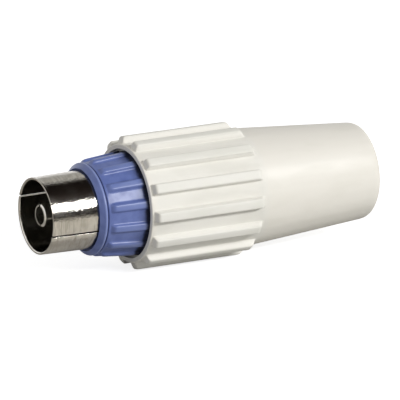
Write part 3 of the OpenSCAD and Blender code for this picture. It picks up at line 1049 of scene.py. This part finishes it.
# %% Threads
PITCH = 1.5 * MM
RIDGE_SINK = 0.03 * MM
RIDGE_HEIGHT = 0.36 * MM
THREAD_LEAD = 0.7
SPIGOT_FLAT = 0.3
NO_FLAT = -1.0
RIDGE = {"Turns": 4.0, "Pitch": PITCH, "Base width": 1.0 * MM, "Crest width": 0.3 * MM}

thread_start = (land_end + THREAD_LEAD) * MM
spigot_thread = grow("spigot_thread", winding, [(0, 0, 0)], **RIDGE, **{
    "Start": thread_start, "Root radius": SPIGOT_R * MM - RIDGE_SINK,
    "Height": RIDGE_HEIGHT + RIDGE_SINK, "Flat": SPIGOT_FLAT, "Material": blue})
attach(spigot_thread, "socket")

sleeve_thread = grow("sleeve_thread", winding, [(0, 0, 0)], **RIDGE, **{
    "Start": thread_start + PITCH / 2, "Root radius": THREAD_BORE_R * MM + RIDGE_SINK,
    "Height": -RIDGE_HEIGHT - RIDGE_SINK, "Flat": NO_FLAT, "Material": ivory})
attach(sleeve_thread, "sleeve")

# %% [markdown]
# ## The metal sleeve
# The sleeve is rolled from sheet, sprung in at its rim and slit on two sides. Its rim is rounded inwards. A
# Spin and a knife cut would do for one size. A second tree turns the outline with plain columns and cuts
# the slits, so their width and angle stay numbers. A Bevel modifier takes the edges off, because a cut
# edge of sheet metal always shows a thin bright line. The columns start at the slit, so that none lies so
# close beside its edge that the bevel has no room.

# %% A turning with slits
def slit_turning():
    """The tree that turns an outline and cuts slits into its front end."""
    tree, given = new_tree("slit_turning", **{
        "Stations": "geometry", "Columns": "count", "Slits": "count", "Slit angle": "size",
        "Slit width": "size", "Slit end": "size", "Slit reach": "size", "Material": "material"})
    skin, row, column = grid(tree, count(given["Stations"], "MESH"), given["Columns"] + 1)
    along, radius = sample(given["Stations"], row).split()[:2]
    angle = given["Slit angle"] + column * FULL_TURN / given["Columns"]
    skin = place_points(skin, on_axis(along, radius, angle))
    skin = merged(Wire.node(tree, "GeometryNodeFlipFaces", {}, {"Mesh": skin}))
    size = vector(given["Slit end"] * 2, given["Slit width"], given["Slit reach"])
    box = Wire.node(tree, "GeometryNodeMeshCube", {}, {"Size": size}, "Mesh")
    lift = Wire.node(tree, "ShaderNodeCombineXYZ", {}, {"Z": given["Slit reach"] / 2})
    box = Wire.node(tree, "GeometryNodeTransform", {}, {"Geometry": box, "Translation": lift})
    points = Wire.node(tree, "GeometryNodePoints", {}, {"Count": given["Slits"]})
    index = Wire.node(tree, "GeometryNodeInputIndex")
    turn = vector(given["Slit angle"] + index * FULL_TURN / given["Slits"], 0.0, 0.0)
    sockets = {"Points": points, "Instance": box, "Rotation": turn}
    boxes = Wire.node(tree, "GeometryNodeInstanceOnPoints", {}, sockets)
    boxes = Wire.node(tree, "GeometryNodeRealizeInstances", {}, {"Geometry": boxes})
    return cut_tree(tree, skin, boxes, given["Material"])


slit = slit_turning()
print("tree", slit.name, "has", len(slit.nodes), "nodes")

# %% Slit sleeve
SHELL_COLUMNS = 160
SHEET = 0.35
RIM_R = 5.1
SHELL_R = 5.22
SLITS = 2
SLIT_ANGLE = math.radians(109.5)
SLIT_WIDTH = 0.25
SLIT_END = 8.5
SLIT_REACH = 8
EDGE_BREAK = 0.04 * MM
EDGE_STEPS = 2
WELD_SHARE = 0.1


def take_edges_off(piece, width):
    """Bevels the sharp edges of a piece and keeps the result as a plain mesh."""
    modifier = piece.modifiers.new("edges", "BEVEL")
    modifier.width = width
    modifier.segments = EDGE_STEPS
    modifier.limit_method = "ANGLE"
    modifier.angle_limit = SHARP
    keep_result(piece, modifier)
    weld = piece.modifiers.new("weld", "WELD")
    weld.merge_threshold = width * WELD_SHARE
    keep_result(piece, weld)


shell_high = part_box("outer_shell")[1] / MM
flange_x = shell_high.x - SHEET
shell_corners = [
    plain(0, RIM_R - SHEET, 0.3),
    plain(0, RIM_R, 0.05),
    plain(front, SHELL_R, 0.3),
    plain(flange_x, SHELL_R, 0.05),
    plain(flange_x, shell_high.z, 0.05),
    plain(shell_high.x, shell_high.z, 0.05),
    plain(shell_high.x, SHELL_R - SHEET, 0.05),
    plain(front, SHELL_R - SHEET, 0.3),
]
shell = grow("slit_sleeve", slit, rounded(shell_corners), **{
    "Columns": SHELL_COLUMNS, "Slits": SLITS, "Slit angle": SLIT_ANGLE, "Slit width": SLIT_WIDTH * MM,
    "Slit end": SLIT_END * MM, "Slit reach": SLIT_REACH * MM, "Material": nickel})
take_edges_off(shell, EDGE_BREAK)
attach(shell, "socket")
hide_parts("outer_shell")

# %% [markdown]
# ## Solids that stay
# The insulator, the contact, its screw, the collet and the pressure ring already have their true shape.
# They could be made again like the others, but they lie inside, where a rounded edge hardly shows. So they
# keep their meshes and only get their finish.

# %% Finishes on the solids
for name, material in (("insulator", black), ("centre_contact", contact_plate), ("braid_collet", brass),
                       ("conductor_screw", screw_plate), ("pressure_ring", grey)):
    nodes[name].data.materials.clear()
    nodes[name].data.materials.append(material)
    print(name, "gets", material.name)

# %% [markdown]
